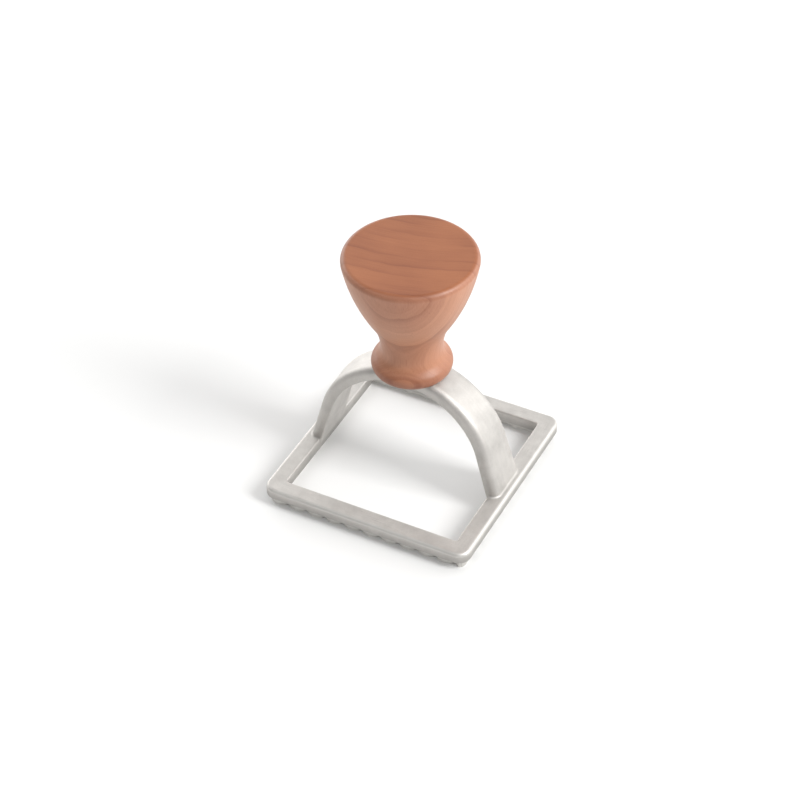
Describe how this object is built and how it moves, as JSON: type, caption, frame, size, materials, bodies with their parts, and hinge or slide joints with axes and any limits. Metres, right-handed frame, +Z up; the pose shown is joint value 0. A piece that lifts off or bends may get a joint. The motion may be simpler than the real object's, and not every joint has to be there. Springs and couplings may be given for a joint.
{
  "type": "ravioli stamp",
  "caption": "Square ravioli stamp: a cast metal frame with a scalloped cutting edge, a strap arch across it, and a turned wooden palm knob screwed on top.",
  "frame": {"origin": "centre of the square frame, on the plane of the blade's cutting edge", "axes": "+Z up along the knob's axis, X along the strap arch, Y across it"},
  "size_m": [0.07, 0.07, 0.0848],
  "materials": {
    "cast_aluminium": "satin, tumbled casting",
    "beech": "clear varnish on fine straight grain",
    "screw_steel": "bright zinc plate"
  },
  "bodies": {
    "root": {"stamp_frame": "cast_aluminium", "knob": "beech", "knob_screw": "screw_steel"}
  },
  "joints": []
}
